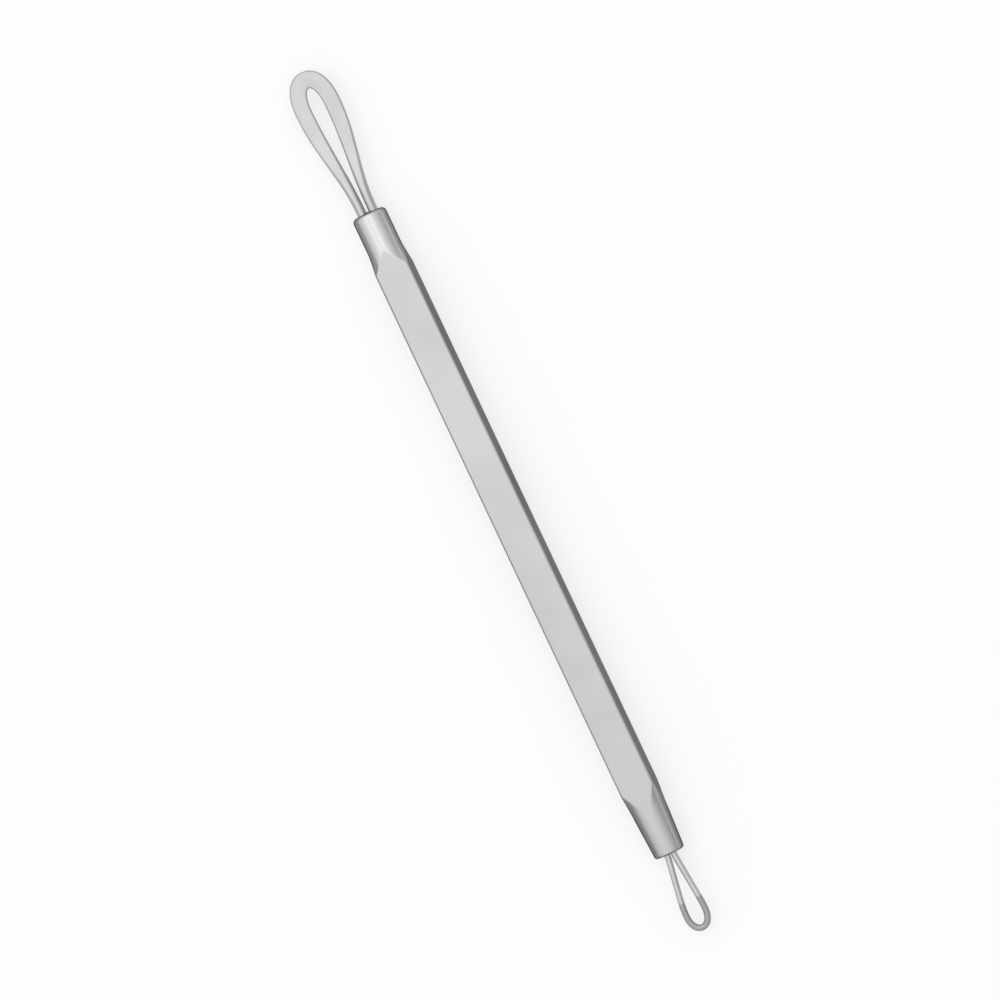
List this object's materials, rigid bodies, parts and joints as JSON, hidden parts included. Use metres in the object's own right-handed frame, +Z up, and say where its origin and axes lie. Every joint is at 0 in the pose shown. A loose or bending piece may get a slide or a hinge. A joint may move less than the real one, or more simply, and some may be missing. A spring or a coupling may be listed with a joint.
{
  "type": "blackhead extractor",
  "caption": "Double-ended skin-care hand tool: square satin steel handle with turned ends, a wide flat wire loop at one end and a fine pressed loop at the other.",
  "frame": {"origin": "centre of the bounding box, on the plane of the handle's back flat, on which the tool lies", "axes": "+Y along the handle towards the large loop, +Z up out of the front flat, X across the loops"},
  "size_m": [0.0062, 0.1206, 0.0046],
  "materials": {
    "handle_steel": "satin stainless steel, finely ground along the bar and turned at both ends",
    "loop_wire": "satin stainless spring wire, flattened and lightly polished",
    "braze_filler": "silver braze filler, wiped smooth"
  },
  "bodies": {
    "root": {"handle": "handle_steel", "large_loop": "loop_wire", "small_loop": "loop_wire", "large_loop_braze": "braze_filler", "small_loop_braze": "braze_filler"}
  },
  "joints": []
}
